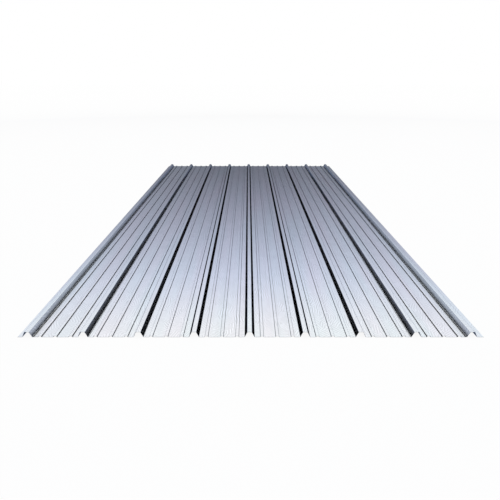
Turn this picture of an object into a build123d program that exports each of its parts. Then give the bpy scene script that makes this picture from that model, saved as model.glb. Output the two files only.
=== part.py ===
from build123d import *
import os

# A roll-formed roofing and cladding sheet in bare zinc-coated steel, lying flat on its pans.
# X runs across the ribs, Y along them and +Z is up. The origin is on the floor, below the
# middle of the sheet's overall size. Every size is in millimetres.

# The coil that the sheet is rolled from
sheet_length = 2400.0
steel_gauge = 0.5

# Tall ribs, which stiffen the sheet and lap over the next one
rib_count = 9
rib_pitch = 137.5
rib_rise = 14.0
rib_foot_width = 24.0
rib_crown_width = 10.6
rib_bend_radius = 1.2

# Low beads, which keep the flat pans between the ribs from drumming
beads_in_a_pan = 3
bead_spacing = 38.0
bead_rise = 2.8
bead_foot_width = 8.0
bead_crown_width = 7.0
bead_bend_radius = 0.5

# Flat lips outside the two end ribs: the overlap edge is on -X, the underlap edge on +X
overlap_lip = 12.0
underlap_lip = 17.0


def raised_form(middle, foot_width, crown_width, rise, bend_radius):
    """Underside corners of one rib or bead, in order along X, each with its bend radius.

    The underside runs round the outside of the two bends at the feet and round the inside
    of the two at the crown, so the radii differ by the gauge.
    """
    foot = foot_width / 2
    crown = crown_width / 2
    outside = bend_radius + steel_gauge
    return [
        ((middle - foot, 0), outside),
        ((middle - crown, rise), bend_radius),
        ((middle + crown, rise), bend_radius),
        ((middle + foot, 0), outside),
    ]


def rib(middle):
    return raised_form(middle, rib_foot_width, rib_crown_width, rib_rise, rib_bend_radius)


def bead(middle):
    return raised_form(middle, bead_foot_width, bead_crown_width, bead_rise, bead_bend_radius)


def rolled_section():
    """The sheet's section in the XZ plane: the filleted underside, thickened upwards."""
    first_rib = -(rib_count - 1) * rib_pitch / 2
    bends = []
    for rib_number in range(rib_count):
        rib_middle = first_rib + rib_number * rib_pitch
        bends += rib(rib_middle)
        if rib_number < rib_count - 1:
            pan_middle = rib_middle + rib_pitch / 2
            for bead_number in range(beads_in_a_pan):
                beads_from_middle = bead_number - (beads_in_a_pan - 1) / 2
                bends += bead(pan_middle + beads_from_middle * bead_spacing)
    left_edge = first_rib - rib_foot_width / 2 - overlap_lip
    right_edge = -first_rib + rib_foot_width / 2 + underlap_lip
    corners = [(left_edge, 0)] + [corner for corner, radius in bends] + [(right_edge, 0)]
    radii = [radius for corner, radius in bends]
    with BuildSketch(Plane.XZ) as section:
        with BuildLine():
            FilletPolyline(*corners, radius=radii)
            offset(amount=steel_gauge, side=Side.LEFT)
        make_face()
    middle_of_width = (left_edge + right_edge) / 2
    return Pos(-middle_of_width, 0, 0) * section.sketch


def ribbed_sheet():
    return extrude(rolled_section(), amount=sheet_length / 2, both=True)


os.makedirs("parts", exist_ok=True)
sheet = ribbed_sheet()
export_step(sheet, "parts/ribbed_sheet.step")
size = sheet.bounding_box().size
print(f"ribbed sheet {size.X:.1f} x {size.Y:.1f} x {size.Z:.1f} mm, {sheet.volume * 7.85e-6:.2f} kg")
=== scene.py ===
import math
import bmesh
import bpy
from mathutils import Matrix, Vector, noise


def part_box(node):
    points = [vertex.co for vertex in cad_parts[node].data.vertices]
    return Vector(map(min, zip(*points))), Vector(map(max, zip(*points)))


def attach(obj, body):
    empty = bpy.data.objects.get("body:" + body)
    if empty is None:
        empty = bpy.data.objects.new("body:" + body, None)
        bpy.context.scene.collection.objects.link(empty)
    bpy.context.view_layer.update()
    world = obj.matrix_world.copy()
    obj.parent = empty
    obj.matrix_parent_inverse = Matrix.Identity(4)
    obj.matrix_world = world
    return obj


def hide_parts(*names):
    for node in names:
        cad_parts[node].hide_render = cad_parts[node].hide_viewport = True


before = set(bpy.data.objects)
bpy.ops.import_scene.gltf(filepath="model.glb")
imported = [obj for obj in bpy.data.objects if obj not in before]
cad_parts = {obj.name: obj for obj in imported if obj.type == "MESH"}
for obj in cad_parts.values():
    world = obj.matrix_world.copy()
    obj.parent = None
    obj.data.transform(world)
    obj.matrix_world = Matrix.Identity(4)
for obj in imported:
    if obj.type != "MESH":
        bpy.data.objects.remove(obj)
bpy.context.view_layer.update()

# %% [markdown]
# A ribbed roofing sheet of bare zinc-coated steel
#
# The real thing starts as a flat coil of thin steel, bright with hot-dipped zinc. It runs
# through a row of rolls that fold it a little more at each stand, and comes out with tall ribs
# and low beads along its whole length. A shear then cuts it off. So it is one piece, of one
# thickness, and the same section repeats at every place along it.
#
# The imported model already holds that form. Its mesh is made for weighing and for collisions, so
# its small folds are coarse. Here the sheet is folded again, finely enough for the folds to
# catch the light as the real ones do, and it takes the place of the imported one.

mm = 0.001
low_corner, high_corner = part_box("ribbed_sheet")
sheet_length = high_corner.y - low_corner.y
sheet_width = high_corner.x - low_corner.x
sheet_height = high_corner.z - low_corner.z
hair = 0.01 * mm
print(f"packed sheet {sheet_width / mm:.1f} x {sheet_length / mm:.1f} x {sheet_height / mm:.1f} mm")

# %% [markdown]
# The section
#
# A rib is four folds: up, over, over and down. A bead is the same thing, small. Working on the
# middle of the steel's thickness is the easiest way to draw a folded sheet, because there every
# fold has the same radius, whether it turns up or down.
#
# Each fold is one corner here. The round is cut afterwards, by a bevel, so that the whole
# section needs only its corners.
#
# A rib has two more. The wall of a rolled rib bows out by a fifth of a millimetre, a third of
# the way up, so its upper part leans a little more than its foot. Nobody sees that as a shape,
# but bright metal shows it: the wall darkens towards its foot. The folds are also drawn as tight
# as the photograph shows them. That moves the steel by less than a tenth of a millimetre from
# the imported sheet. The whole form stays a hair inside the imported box.

# %% Sizes of the ribs and beads
steel_gauge = 0.5 * mm
rib_count = 9
rib_pitch = 137.5 * mm
rib_rise = 14.0 * mm
rib_foot_width = 24.0 * mm
rib_crown_width = 10.6 * mm
rib_bend_radius = 0.7 * mm
rib_wall_bow = 0.2 * mm
rib_bow_height = 0.35
beads_in_a_pan = 3
bead_spacing = 38.0 * mm
bead_rise = 2.8 * mm
bead_foot_width = 8.0 * mm
bead_crown_width = 7.0 * mm
bead_bend_radius = 0.3 * mm
overlap_lip = 12.0 * mm
underlap_lip = 17.0 * mm
end_rib_offset = (underlap_lip - overlap_lip) / 2


def rib_middle(number):
    """X of a rib's middle, where number 0 is the rib at the sheet's centre."""
    return number * rib_pitch - end_rib_offset


def fold_turn(foot_width, crown_width, rise):
    """The angle that each fold of a rib or bead turns the steel through."""
    return math.atan2(rise, (foot_width - crown_width) / 2)


rib_turn = fold_turn(rib_foot_width, rib_crown_width, rib_rise)
bead_turn = fold_turn(bead_foot_width, bead_crown_width, bead_rise)
print(f"rib walls stand at {math.degrees(rib_turn):.1f} deg")
print(f"bead walls stand at {math.degrees(bead_turn):.1f} deg")

# %% Corners of the section, on the middle of the steel


def raised_form(middle, foot_width, crown_width, rise, bow=0.0):
    """Corners of a rib or bead. The half gauge moves each fold out along its bisector, and the
    bow moves a point of the wall out at right angles to it."""
    turn = fold_turn(foot_width, crown_width, rise)
    outward = steel_gauge / 2 * math.tan(turn / 2)
    foot = foot_width / 2 + outward
    crown = crown_width / 2 + outward
    base = steel_gauge / 2
    right_side = [(crown, base + rise), (foot, base)]
    if bow:
        bow_x = foot + rib_bow_height * (crown - foot) + bow * math.sin(turn)
        bow_z = base + rib_bow_height * rise + bow * math.cos(turn)
        right_side.insert(1, (bow_x, bow_z))
    left_side = [(-x, z) for x, z in reversed(right_side)]
    return [(middle + x, z) for x, z in left_side + right_side]


half_count = rib_count // 2
corners = [(low_corner.x + hair, steel_gauge / 2)]
for number in range(-half_count, half_count + 1):
    middle = rib_middle(number)
    corners += raised_form(middle, rib_foot_width, rib_crown_width, rib_rise, rib_wall_bow)
    if number < half_count:
        pan_middle = middle + rib_pitch / 2
        for bead in range(beads_in_a_pan):
            bead_middle = pan_middle + (bead - (beads_in_a_pan - 1) / 2) * bead_spacing
            corners += raised_form(bead_middle, bead_foot_width, bead_crown_width, bead_rise)
corners.append((high_corner.x - hair, steel_gauge / 2))
print(f"{len(corners)} corners in the section")

# %% [markdown]
# Rolling the sheet
#
# The corners become a line of edges at one end. Extruding that line gives the flat-faced sheet,
# as long as the real one. Then the fold edges are bevelled, which is what the rolls do: it swaps
# each sharp corner for a round of the right radius. Ribs and beads have different radii, so they
# are bevelled in two goes.

# %% Fold lines and their bevels
rib_fold_steps = 4
bead_fold_steps = 3

sheet_form = bmesh.new()
end_points = [sheet_form.verts.new((x, low_corner.y + hair, z)) for x, z in corners]
end_line = [sheet_form.edges.new(pair) for pair in zip(end_points[:-1], end_points[1:])]
pulled = bmesh.ops.extrude_edge_only(sheet_form, edges=end_line)["geom"]
pulled_points = [item for item in pulled if isinstance(item, bmesh.types.BMVert)]
bmesh.ops.translate(sheet_form, verts=pulled_points, vec=(0, sheet_length - 2 * hair, 0))


def fold_edges(form, kind, turn):
    """The lengthwise edges that fold by about that turn, on the ribs or on the beads."""
    found = []
    for edge in form.edges:
        along = abs(edge.verts[0].co.y - edge.verts[1].co.y) > sheet_length / 2
        if along and edge.calc_face_angle(0) > turn / 2:
            rise_beside = max(point.co.z for face in edge.link_faces for point in face.verts)
            tall = rise_beside > steel_gauge / 2 + bead_rise + rib_rise / 4
            if tall == (kind == "rib"):
                found.append(edge)
    return found


def roll_folds(form, edges, bend_radius, turn, steps):
    """Swaps those edges for rounds. The bend radius is that of the inner face of the steel."""
    radius = bend_radius + steel_gauge / 2
    bmesh.ops.bevel(
        form,
        geom=edges,
        offset=radius * math.tan(turn / 2),
        offset_type="OFFSET",
        affect="EDGES",
        segments=steps,
        profile=0.5,
        material=-1,
        clamp_overlap=False,
    )


rib_folds = fold_edges(sheet_form, "rib", rib_turn)
print(f"{len(rib_folds)} rib folds")
roll_folds(sheet_form, rib_folds, rib_bend_radius, rib_turn, rib_fold_steps)
bead_folds = fold_edges(sheet_form, "bead", bead_turn)
print(f"{len(bead_folds)} bead folds")
roll_folds(sheet_form, bead_folds, bead_bend_radius, bead_turn, bead_fold_steps)

# %% [markdown]
# Not quite flat
#
# Thin rolled steel is never dead flat. Its pans rise and fall by a tenth or two of a
# millimetre, and bright metal shows that as soft bands. The sheet is cut across into short
# bays, and each point of a pan is lifted a little by a slow noise. Crowns and cut edges stay
# where they are, so the sheet keeps its size and still lies on the floor.

# %% Bays along the sheet and the lift of the pans
bay_count = 48
cut_tolerance = 0.001 * mm
pan_lift = 0.18 * mm
lift_length = 0.42
lift_width = 0.11
lift_pattern = 3.7
fade_from_edge = 0.03

for cut in range(1, bay_count):
    bmesh.ops.bisect_plane(
        sheet_form,
        geom=sheet_form.verts[:] + sheet_form.edges[:] + sheet_form.faces[:],
        plane_co=(0, low_corner.y + sheet_length * cut / bay_count, 0),
        plane_no=(0, 1, 0),
        dist=cut_tolerance,
    )


def pan_lift_at(point):
    """How far a point of the pan is lifted: nothing at the crowns and at the sheet's edges."""
    slow = noise.noise(Vector((point.x / lift_width, point.y / lift_length, lift_pattern)))
    level = max(0.0, 1 - (point.z - steel_gauge / 2) / rib_rise)
    from_side = min(point.x - low_corner.x, high_corner.x - point.x) / fade_from_edge
    from_end = min(point.y - low_corner.y, high_corner.y - point.y) / fade_from_edge
    fade = max(0.0, min(1.0, from_side, from_end))
    return pan_lift * (0.5 + 0.5 * slow) * level * fade


for point in sheet_form.verts:
    point.co.z += pan_lift_at(point.co)
print(f"{len(sheet_form.faces)} faces before the thickness")

# %% [markdown]
# Thickness
#
# Solidify gives the folded surface the thickness of the steel, half to each side, and Weighted
# Normal keeps the flat pans shaded flat right up to their folds. The UV map is the sheet seen
# from above, in metres. The material needs it later, to know which way is across the ribs.

# %% Thickness and shading of the finished piece
bmesh.ops.recalc_face_normals(sheet_form, faces=sheet_form.faces[:])
if sum(face.normal.z * face.calc_area() for face in sheet_form.faces) < 0:
    bmesh.ops.reverse_faces(sheet_form, faces=sheet_form.faces[:])
for face in sheet_form.faces:
    face.smooth = True
for edge in sheet_form.edges:
    edge.smooth = not edge.is_boundary
plan = sheet_form.loops.layers.uv.new("sheet_plan")
for face in sheet_form.faces:
    for corner in face.loops:
        corner[plan].uv = corner.vert.co.xy
sheet_mesh = bpy.data.meshes.new("zinc_sheet")
sheet_form.to_mesh(sheet_mesh)
sheet_form.free()
zinc_sheet = bpy.data.objects.new("zinc_sheet", sheet_mesh)
bpy.context.scene.collection.objects.link(zinc_sheet)

thickness = zinc_sheet.modifiers.new("steel_gauge", "SOLIDIFY")
thickness.thickness = steel_gauge - 2 * hair
thickness.offset = 0
thickness.use_even_offset = True
shading = zinc_sheet.modifiers.new("flat_pans_stay_flat", "WEIGHTED_NORMAL")
shading.mode = "FACE_AREA"
shading.keep_sharp = True

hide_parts("ribbed_sheet")
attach(zinc_sheet, "root")
print(f"{zinc_sheet.name} is {thickness.thickness / mm:.2f} mm thick")

# %% [markdown]
# The zinc
#
# Hot-dipped zinc is a bright, slightly blue metal. As it cools it forms spangle: flat crystals,
# each with fine feathered lines that run its own way, and each a touch lighter or darker than
# the next. The rolls then rub faint lines along the whole sheet. None of this has a depth that
# could be seen from the side, so all of it goes into the material.

# %% Zinc material and its patterns


def new_material(name):
    material = bpy.data.materials.new(name)
    material.use_nodes = True
    material.node_tree.nodes.clear()
    return material, material.node_tree.nodes, material.node_tree.links


def pattern_place(nodes, links, scale):
    """Object coordinates through a Mapping node, in cycles per metre along X, Y and Z."""
    where = nodes.new("ShaderNodeTexCoord")
    mapping = nodes.new("ShaderNodeMapping")
    mapping.inputs["Scale"].default_value = scale
    links.new(where.outputs["Object"], mapping.inputs["Vector"])
    return mapping.outputs["Vector"]


def soft_noise(nodes, links, scale, detail):
    """A noise pattern, 0 to 1, with its own number of cycles per metre each way."""
    pattern = nodes.new("ShaderNodeTexNoise")
    pattern.inputs["Scale"].default_value = 1.0
    pattern.inputs["Detail"].default_value = detail
    links.new(pattern_place(nodes, links, scale), pattern.inputs["Vector"])
    return pattern.outputs["Fac"]


def spread(nodes, links, value, lowest, highest):
    """A pattern's 0 to 1 mapped to a chosen range."""
    ranged = nodes.new("ShaderNodeMapRange")
    ranged.inputs["To Min"].default_value = lowest
    ranged.inputs["To Max"].default_value = highest
    links.new(value, ranged.inputs["Value"])
    return ranged.outputs["Result"]


def total(nodes, links, first, second):
    """The sum of two patterns."""
    added = nodes.new("ShaderNodeMath")
    added.operation = "ADD"
    links.new(first, added.inputs[0])
    links.new(second, added.inputs[1])
    return added.outputs["Value"]


zinc, nodes, links = new_material("zinc_coated_steel")
metal = nodes.new("ShaderNodeBsdfPrincipled")
surface = nodes.new("ShaderNodeOutputMaterial")
links.new(metal.outputs["BSDF"], surface.inputs["Surface"])
metal.inputs["Metallic"].default_value = 1.0
print("started the material", zinc.name)

# %% [markdown]
# Spangle
#
# A Voronoi pattern gives flat cells with sharp borders, as crystals have, and a random colour in
# each. One channel of that colour lightens or darkens the crystal. Another turns the coordinates
# before they reach a Wave texture, so the feathered lines run another way in each crystal.

# %% Crystals and the feathered lines in them
crystals_across = 44
crystals_along = 30
feather_scale = 48
feather_waver = 1.4
feather_detail = 2.0
crystal_tone = 0.4
feather_tone = 1.2

spangle = nodes.new("ShaderNodeTexVoronoi")
spangle.inputs["Scale"].default_value = 1.0
links.new(
    pattern_place(nodes, links, (crystals_across, crystals_along, crystals_across)),
    spangle.inputs["Vector"],
)
crystal = nodes.new("ShaderNodeSeparateColor")
links.new(spangle.outputs["Color"], crystal.inputs["Color"])

turned = nodes.new("ShaderNodeVectorRotate")
turned.rotation_type = "Z_AXIS"
links.new(pattern_place(nodes, links, (1, 1, 1)), turned.inputs["Vector"])
links.new(spread(nodes, links, crystal.outputs["Green"], 0.0, math.pi), turned.inputs["Angle"])
feather = nodes.new("ShaderNodeTexWave")
feather.wave_type = "BANDS"
feather.inputs["Scale"].default_value = feather_scale
feather.inputs["Distortion"].default_value = feather_waver
feather.inputs["Detail"].default_value = feather_detail
feather.inputs["Detail Scale"].default_value = feather_detail
links.new(turned.outputs["Vector"], feather.inputs["Vector"])
print(f"a crystal is about {1 / crystals_across / mm:.0f} mm across")

# %% [markdown]
# Roll lines and tone
#
# A noise that is stretched along the sheet gives the roll lines. The three patterns are added
# and dull the zinc a little wherever their sum is low. A slower noise, drawn out the same way,
# turns the colour from lilac to sea blue in broad soft streaks.

# %% Roll lines, tone and colour
roll_line_scale = (150, 1.4, 150)
roll_line_detail = 4.0
line_tone = 1.0
streak_scale = (16, 1.5, 16)
streak_detail = 2.0
lilac_zinc = (0.975, 0.965, 0.995, 1)
blue_zinc = (0.920, 0.985, 1.0, 1)
dull_share = 0.18

roll_lines = soft_noise(nodes, links, roll_line_scale, roll_line_detail)
crystal_and_feather = total(
    nodes,
    links,
    spread(nodes, links, crystal.outputs["Red"], -crystal_tone, crystal_tone),
    spread(nodes, links, feather.outputs["Fac"], -feather_tone, feather_tone),
)
tone = total(
    nodes,
    links,
    spread(nodes, links, roll_lines, 0.5 - line_tone, 0.5 + line_tone),
    crystal_and_feather,
)
colour = nodes.new("ShaderNodeMix")
colour.data_type = "RGBA"
colour.inputs["A"].default_value = lilac_zinc
colour.inputs["B"].default_value = blue_zinc
streaks = soft_noise(nodes, links, streak_scale, streak_detail)
links.new(spread(nodes, links, streaks, -1.0, 2.0), colour.inputs["Factor"])
dulled = nodes.new("ShaderNodeMix")
dulled.data_type = "RGBA"
dulled.blend_type = "MULTIPLY"
dulled.inputs["B"].default_value = (0.0, 0.0, 0.0, 1)
links.new(spread(nodes, links, tone, dull_share, 0.0), dulled.inputs["Factor"])
links.new(colour.outputs["Result"], dulled.inputs["A"])
links.new(dulled.outputs["Result"], metal.inputs["Base Color"])
print(f"the patterns take up to {dull_share:.0%} off the zinc's brightness")

# %% [markdown]
# Gloss
#
# The roll lines also scatter light, and only across themselves. So the gloss is anisotropic: a
# reflection is smeared across the ribs and stays crisp along them. The direction comes from a UV
# map whose U runs across the sheet. A bump of a hundredth of a millimetre makes the reflections
# waver a little, as they do in rolled metal.

# %% Gloss and relief
smear_across = 0.6
least_roughness = 0.15
most_roughness = 0.17
relief_depth = 0.012 * mm
relief_scale = (60, 12, 60)
relief_detail = 2.0

metal.inputs["Anisotropic"].default_value = smear_across
across = nodes.new("ShaderNodeTangent")
across.direction_type = "UV_MAP"
across.uv_map = "sheet_plan"
links.new(across.outputs["Tangent"], metal.inputs["Tangent"])
roughness = spread(nodes, links, crystal.outputs["Blue"], least_roughness, most_roughness)
links.new(roughness, metal.inputs["Roughness"])

relief = nodes.new("ShaderNodeBump")
relief.inputs["Strength"].default_value = 1.0
relief.inputs["Distance"].default_value = relief_depth
links.new(soft_noise(nodes, links, relief_scale, relief_detail), relief.inputs["Height"])
links.new(relief.outputs["Normal"], metal.inputs["Normal"])
zinc_sheet.data.materials.append(zinc)
print("zinc material has", len(nodes), "nodes")

# %% [markdown]
# The room
#
# Bright metal shows what stands round it more than it shows its own colour. In the photograph
# the sheet is nearly white at the near end and blue-grey at the far end, so it mirrors a room
# that is white overhead and dim towards the horizon. That room is a white world with a tinted
# screen standing round the set, dim at the floor and clear at its top. The camera looks past
# the screen and sees plain white.
#
# The screen's sides are lighter near the floor than its back. The pans mirror the back, and only
# the walls of the outer ribs look sideways, which is why those walls are paler than the rest.

# %% White world
world = bpy.data.worlds.new("white_room")
bpy.context.scene.world = world
world.use_nodes = True
background = world.node_tree.nodes["Background"]
background.inputs["Color"].default_value = (1, 1, 1, 1)
background.inputs["Strength"].default_value = 1.0
print("world strength", background.inputs["Strength"].default_value)

# %% Screen round the set
screen_radius = 6.0
screen_height = 6.0
screen_sides = 96
screen_form = bmesh.new()
bmesh.ops.create_circle(screen_form, cap_ends=False, radius=screen_radius, segments=screen_sides)
raised = bmesh.ops.extrude_edge_only(screen_form, edges=screen_form.edges[:])["geom"]
top_ring = [item for item in raised if isinstance(item, bmesh.types.BMVert)]
bmesh.ops.translate(screen_form, verts=top_ring, vec=(0, 0, screen_height))
screen_mesh = bpy.data.meshes.new("tinted_screen")
screen_form.to_mesh(screen_mesh)
screen_form.free()
screen = bpy.data.objects.new("tinted_screen", screen_mesh)
bpy.context.scene.collection.objects.link(screen)
screen.visible_camera = False

screen_tint, nodes, links = new_material("screen_tint")
surface = nodes.new("ShaderNodeOutputMaterial")
clear = nodes.new("ShaderNodeBsdfTransparent")
links.new(clear.outputs["BSDF"], surface.inputs["Surface"])
where = nodes.new("ShaderNodeTexCoord")
place = nodes.new("ShaderNodeSeparateXYZ")
links.new(where.outputs["Object"], place.inputs["Vector"])
share_of_height = nodes.new("ShaderNodeMath")
share_of_height.operation = "DIVIDE"
share_of_height.inputs[1].default_value = screen_height
links.new(place.outputs["Z"], share_of_height.inputs[0])


def tint_by_height(stops):
    """A colour ramp up the screen, from a few heights in metres and the colour at each."""
    tint = nodes.new("ShaderNodeValToRGB")
    links.new(share_of_height.outputs["Value"], tint.inputs["Fac"])
    while len(tint.color_ramp.elements) < len(stops):
        tint.color_ramp.elements.new(0.5)
    for element, (stop_height, colour) in zip(tint.color_ramp.elements, stops):
        element.position = stop_height / screen_height
        element.color = (*colour, 1)
    return tint.outputs["Color"]


back_tint = tint_by_height([
    (0.0, (0.08, 0.10, 0.15)),
    (0.1, (0.135, 0.16, 0.23)),
    (0.9, (0.15, 0.16, 0.195)),
    (1.4, (0.255, 0.26, 0.335)),
    (2.1, (0.425, 0.455, 0.57)),
    (2.9, (0.655, 0.695, 0.855)),
    (3.7, (0.88, 0.905, 0.97)),
    (4.1, (1.0, 1.0, 1.0)),
])
side_tint = tint_by_height([
    (0.0, (0.14, 0.20, 0.40)),
    (0.1, (0.26, 0.34, 0.62)),
    (0.25, (0.60, 0.63, 0.73)),
    (0.6, (0.60, 0.63, 0.73)),
    (1.0, (0.30, 0.32, 0.38)),
    (2.1, (0.49, 0.52, 0.62)),
    (2.9, (0.75, 0.79, 0.90)),
    (3.6, (0.95, 0.96, 0.99)),
    (4.0, (1.0, 1.0, 1.0)),
])
print(f"screen {screen_height} m high, {screen_radius} m from the middle of the set")

# %% From the back of the screen to its sides
back_reach = 0.6
side_reach = 3.9

to_side = nodes.new("ShaderNodeMath")
to_side.operation = "ABSOLUTE"
links.new(place.outputs["X"], to_side.inputs[0])
side_share = nodes.new("ShaderNodeMapRange")
side_share.inputs["From Min"].default_value = back_reach
side_share.inputs["From Max"].default_value = side_reach
links.new(to_side.outputs["Value"], side_share.inputs["Value"])
round_tint = nodes.new("ShaderNodeMix")
round_tint.data_type = "RGBA"
links.new(side_share.outputs["Result"], round_tint.inputs["Factor"])
links.new(back_tint, round_tint.inputs["A"])
links.new(side_tint, round_tint.inputs["B"])
links.new(round_tint.outputs["Result"], clear.inputs["Color"])
screen.data.materials.append(screen_tint)
print(f"the back tint ends {back_reach} m out and the side tint is full {side_reach} m out")

# %% [markdown]
# The floor
#
# The floor is plain and white. Most of its white is its own, so that it stays white without
# more light on the metal, and the rest is lit, so that it keeps the sheet's shadow. A dark card
# lies under the sheet, a little inside its edges, as deep as the shadow there would be.
#
# A mat with the screen's tint lies on the floor, round and under the sheet. Only the metal sees
# it. Without it each rib wall would end in a white flash at the far end, where it looks past the
# sheet. The floor lies a little over half a millimetre low, to leave room for mat and card.

# %% Floor
floor_half = 40.0
floor_drop = 0.6 * mm
floor_paint = (0.95, 0.95, 0.95, 1)
own_white = 0.92


def flat_square(name, half_x, half_y, z):
    form = bmesh.new()
    bmesh.ops.create_grid(form, x_segments=1, y_segments=1, size=1.0)
    bmesh.ops.scale(form, verts=form.verts[:], vec=(half_x, half_y, 1))
    bmesh.ops.translate(form, verts=form.verts[:], vec=(0, 0, z))
    mesh = bpy.data.meshes.new(name)
    form.to_mesh(mesh)
    form.free()
    piece = bpy.data.objects.new(name, mesh)
    bpy.context.scene.collection.objects.link(piece)
    return piece


floor = flat_square("floor", floor_half, floor_half, -floor_drop)
floor_white, nodes, links = new_material("floor_white")
surface = nodes.new("ShaderNodeOutputMaterial")
lit = nodes.new("ShaderNodeBsdfDiffuse")
lit.inputs["Color"].default_value = floor_paint
glow = nodes.new("ShaderNodeEmission")
rays = nodes.new("ShaderNodeLightPath")
seen = nodes.new("ShaderNodeMath")
seen.operation = "MAXIMUM"
links.new(rays.outputs["Is Camera Ray"], seen.inputs[0])
links.new(rays.outputs["Is Glossy Ray"], seen.inputs[1])
seen_through = nodes.new("ShaderNodeMath")
seen_through.operation = "MAXIMUM"
links.new(seen.outputs["Value"], seen_through.inputs[0])
links.new(rays.outputs["Is Transmission Ray"], seen_through.inputs[1])
weight = nodes.new("ShaderNodeMath")
weight.operation = "MULTIPLY"
weight.inputs[1].default_value = own_white
links.new(seen_through.outputs["Value"], weight.inputs[0])
blend = nodes.new("ShaderNodeMixShader")
links.new(weight.outputs["Value"], blend.inputs["Fac"])
links.new(lit.outputs["BSDF"], blend.inputs[1])
links.new(glow.outputs["Emission"], blend.inputs[2])
links.new(blend.outputs["Shader"], surface.inputs["Surface"])
floor.data.materials.append(floor_white)
print(f"the floor is {2 * floor_half:.0f} m wide and lies {floor_drop / mm:.1f} mm below the sheet")

# %% Mat and card
mat_drop = floor_drop * 3 / 4
card_drop = floor_drop / 2
card_inset = 0.03
card_paint = (0.004, 0.004, 0.005, 1)

mat = flat_square("tinted_mat", screen_radius, screen_radius, -mat_drop)
mat.visible_camera = False
mat.visible_diffuse = False
mat.visible_shadow = False
mat.data.materials.append(screen_tint)

card_half_width = sheet_width / 2 - card_inset
card_half_length = sheet_length / 2 - card_inset
card = flat_square("shadow_card", card_half_width, card_half_length, -card_drop)
card_black, nodes, links = new_material("card_black")
surface = nodes.new("ShaderNodeOutputMaterial")
black = nodes.new("ShaderNodeBsdfDiffuse")
black.inputs["Color"].default_value = card_paint
links.new(black.outputs["BSDF"], surface.inputs["Surface"])
card.data.materials.append(card_black)
print(f"the mat lies {mat_drop / mm:.2f} mm and the card {card_drop / mm:.2f} mm below the sheet")

# %% [markdown]
# One mirroring
#
# The walls of the inner ribs face the pan beside them. In the photograph they are black: the
# sheet mirrors the room, but not its own mirror image of the room. Cycles follows a path through
# as many glossy surfaces as it is allowed to. With none allowed after the first, a mirrored pan
# stays dark, which gives the black walls.

# %% No second mirroring
bpy.context.scene.cycles.glossy_bounces = 0
print("mirrorings after the first:", bpy.context.scene.cycles.glossy_bounces)

# %% [markdown]
# The camera
#
# All the ribs run to one vanishing point, and the near edge lies level in the frame. Those two
# things fix the camera: how far it tips down, how high it stands and how far back. The lens is
# the one at which the far edge of a sheet of this length falls where the photograph has it.

# %% Camera
photo_size = 500
vanishing_column = 248.2
vanishing_row = 76.8
near_edge_row = 336.97
pan_pitch_slope = 0.2137
centre_rib_slope = 0.0055
lens_in_pixels = 476.4
film_width = 36.0

photo_middle = photo_size / 2
tip = math.atan((photo_middle - vanishing_row) / lens_in_pixels)
height_over_pans = rib_pitch * math.cos(tip) / pan_pitch_slope
near_edge_dip = tip + math.atan((near_edge_row - photo_middle) / lens_in_pixels)
stand_back = height_over_pans / math.tan(near_edge_dip)
aside = centre_rib_slope * height_over_pans / math.cos(tip)

camera_data = bpy.data.cameras.new("photo_camera")
camera_data.sensor_width = film_width
camera_data.lens = lens_in_pixels / photo_size * film_width
camera_data.shift_x = (photo_middle - vanishing_column) / photo_size
camera = bpy.data.objects.new("photo_camera", camera_data)
camera.location = (
    rib_middle(0) - aside,
    low_corner.y - stand_back,
    steel_gauge + height_over_pans,
)
camera.rotation_euler = (math.pi / 2 - tip, 0, 0)
bpy.context.scene.collection.objects.link(camera)
bpy.context.scene.camera = camera
print(f"camera {height_over_pans:.3f} m up, {stand_back:.3f} m back, tipped {math.degrees(tip):.1f} deg")

# %% Plain colours
bpy.context.scene.view_settings.view_transform = "Standard"
